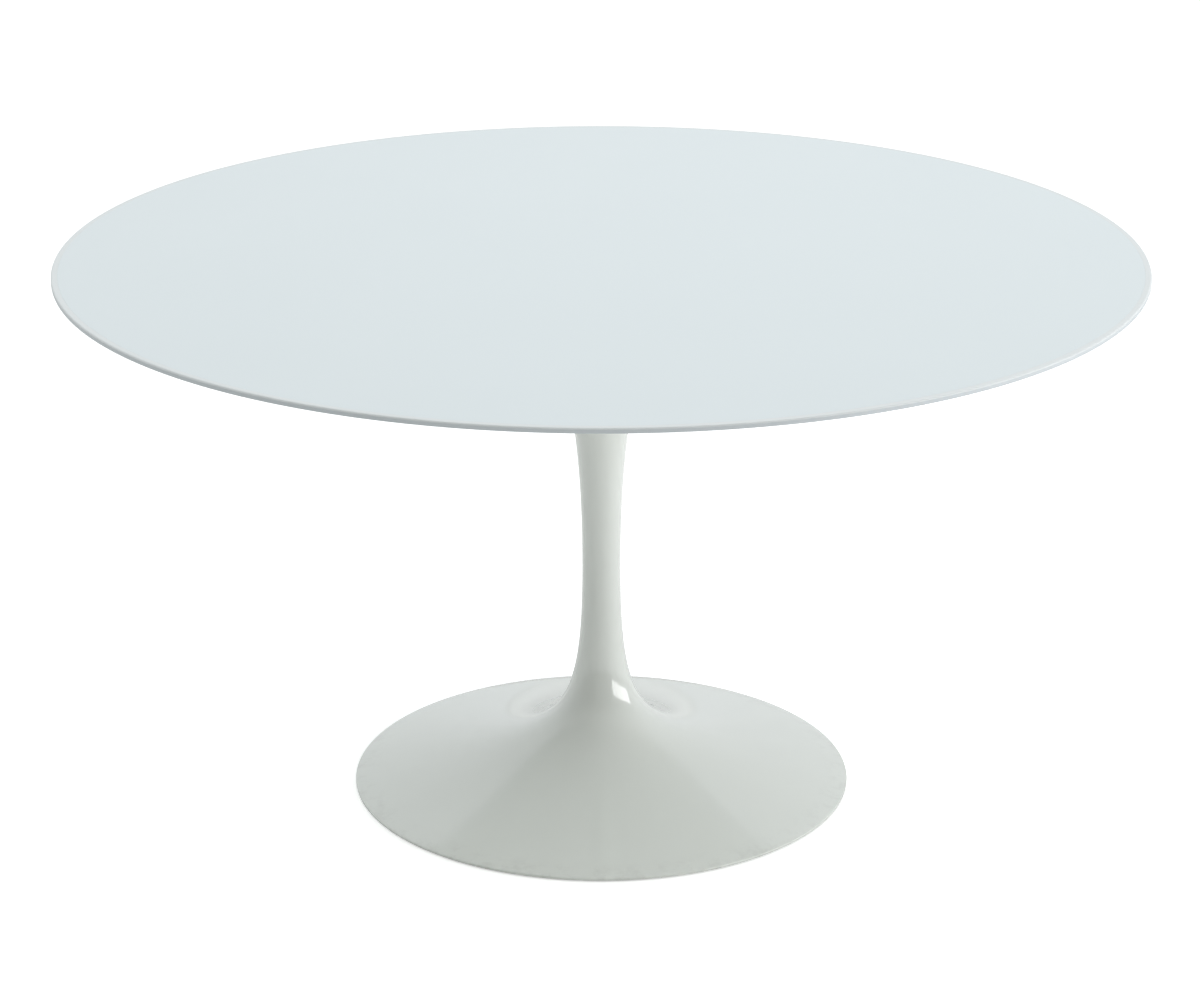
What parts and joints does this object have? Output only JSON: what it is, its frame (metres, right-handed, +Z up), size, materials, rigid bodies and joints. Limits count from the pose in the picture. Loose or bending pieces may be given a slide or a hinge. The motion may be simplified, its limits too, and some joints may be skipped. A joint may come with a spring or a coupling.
{
  "type": "round pedestal table",
  "caption": "Round dining table: a thin-edged white laminate top with an undercut rim, on a slender white trumpet-shaped pedestal with a round foot.",
  "frame": {"origin": "on the floor under the centre of the pedestal, at the lowest face of the glide ring", "axes": "+Z up along the pedestal's axis; the table is round, so +X and +Y are free choices, with the locating pins on the X axis"},
  "size_m": [1.37, 1.37, 0.715],
  "materials": {
    "top_laminate": "satin",
    "edge_paint": "satin",
    "edge_lipping": "satin",
    "backing_laminate": "matte",
    "pedestal_coat": "gloss",
    "plate_paint": "satin",
    "turned_steel": "satin",
    "zinc_hardware": "satin",
    "brass": "satin",
    "gasket_nylon": "matte",
    "ballast_iron": "matte",
    "glide_nylon": "satin"
  },
  "bodies": {
    "root": {"top_laminate": "top_laminate", "top_core": "edge_paint", "edge_lipping": "edge_lipping", "backing_laminate": "backing_laminate", "threaded_inserts": "brass", "mounting_plate": "plate_paint", "plate_hub": "turned_steel", "plate_washers": "zinc_hardware", "plate_bolts": "zinc_hardware", "pedestal": "pedestal_coat", "stem_gasket": "gasket_nylon", "locating_pins": "turned_steel", "tie_rod": "zinc_hardware", "jam_nut": "zinc_hardware", "clamp_washer": "zinc_hardware", "spring_washer": "zinc_hardware", "clamp_nut": "zinc_hardware", "ballast_ring": "ballast_iron", "ballast_washers": "zinc_hardware", "ballast_bolts": "zinc_hardware", "glide_ring": "glide_nylon"}
  },
  "joints": []
}
